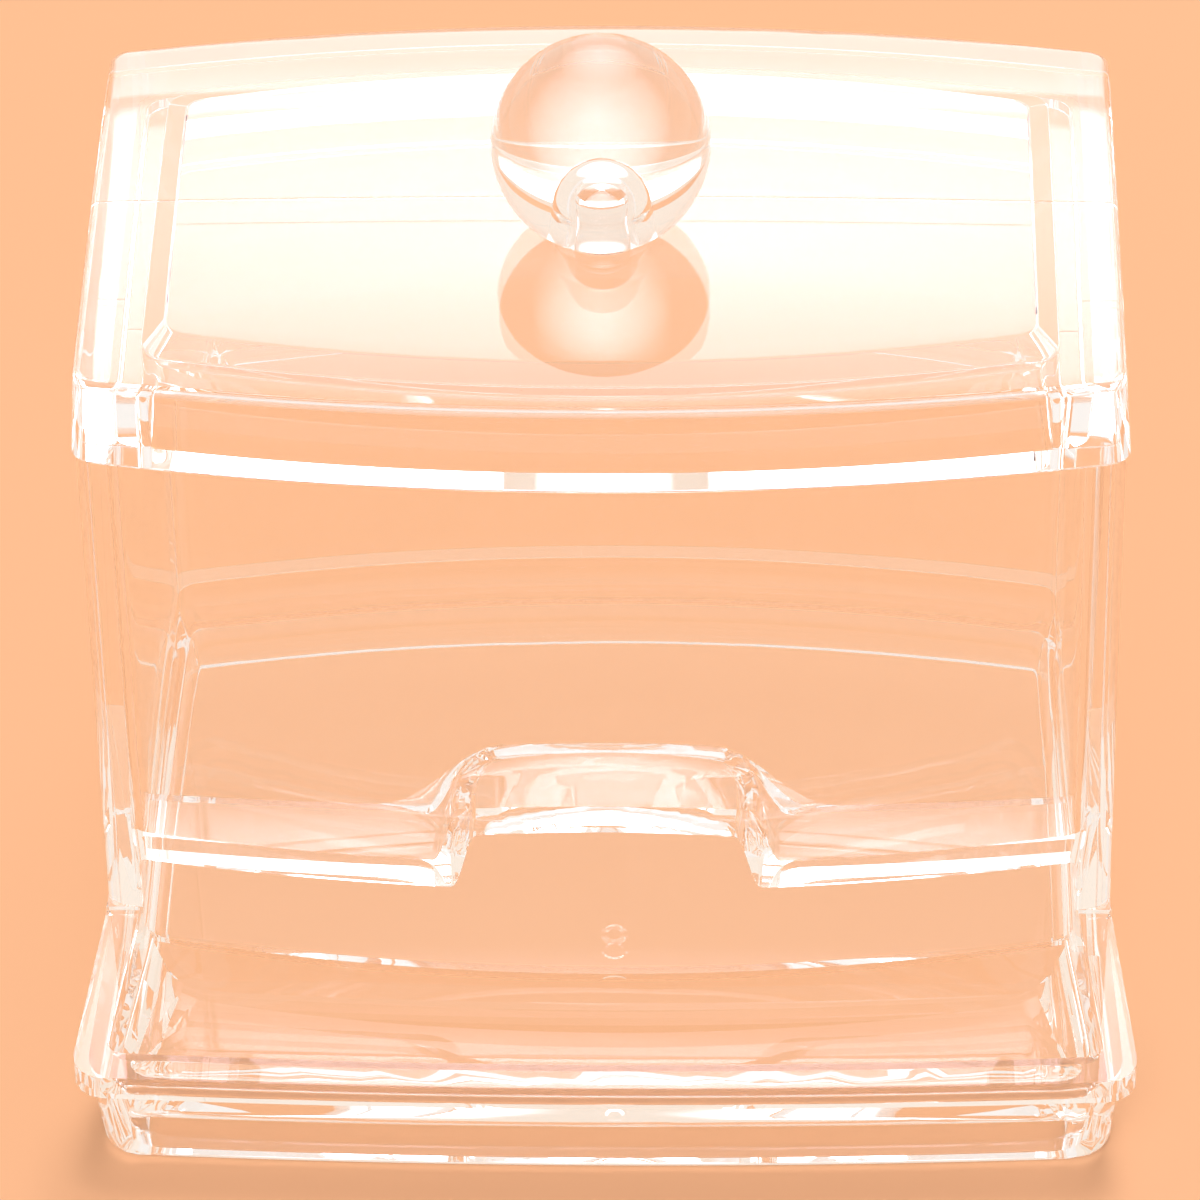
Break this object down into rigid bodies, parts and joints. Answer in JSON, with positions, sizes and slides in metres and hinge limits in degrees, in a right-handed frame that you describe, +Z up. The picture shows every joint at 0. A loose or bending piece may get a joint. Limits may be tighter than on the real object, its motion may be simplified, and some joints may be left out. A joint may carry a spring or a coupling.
{
  "type": "cotton swab holder",
  "caption": "Clear plastic swab dispenser: bowed box with a lift-off ball-knob lid, and a scooped tray in front that swabs roll into through a hooded mouth with a thumb notch.",
  "frame": {"origin": "on the surface it stands on, at the middle of its footprint", "axes": "+X is the width, to the right as seen from the front; -Y is the front, where the tray is; +Z is up"},
  "size_m": [0.098, 0.0772, 0.098],
  "materials": {
    "clear_plastic": "clear moulded polystyrene, polished",
    "knob_plastic": "clear acrylic, polished"
  },
  "bodies": {
    "holder": {"base_tray": "clear_plastic", "body_shell": "clear_plastic"},
    "lid_set": {"lid": "clear_plastic", "knob_ball": "knob_plastic"}
  },
  "joints": [
    {"name": "lid_lift", "type": "slide", "parent": "holder", "child": "lid_set", "axis": [0, 0, 1], "range_m": [0, 0.06]}
  ]
}
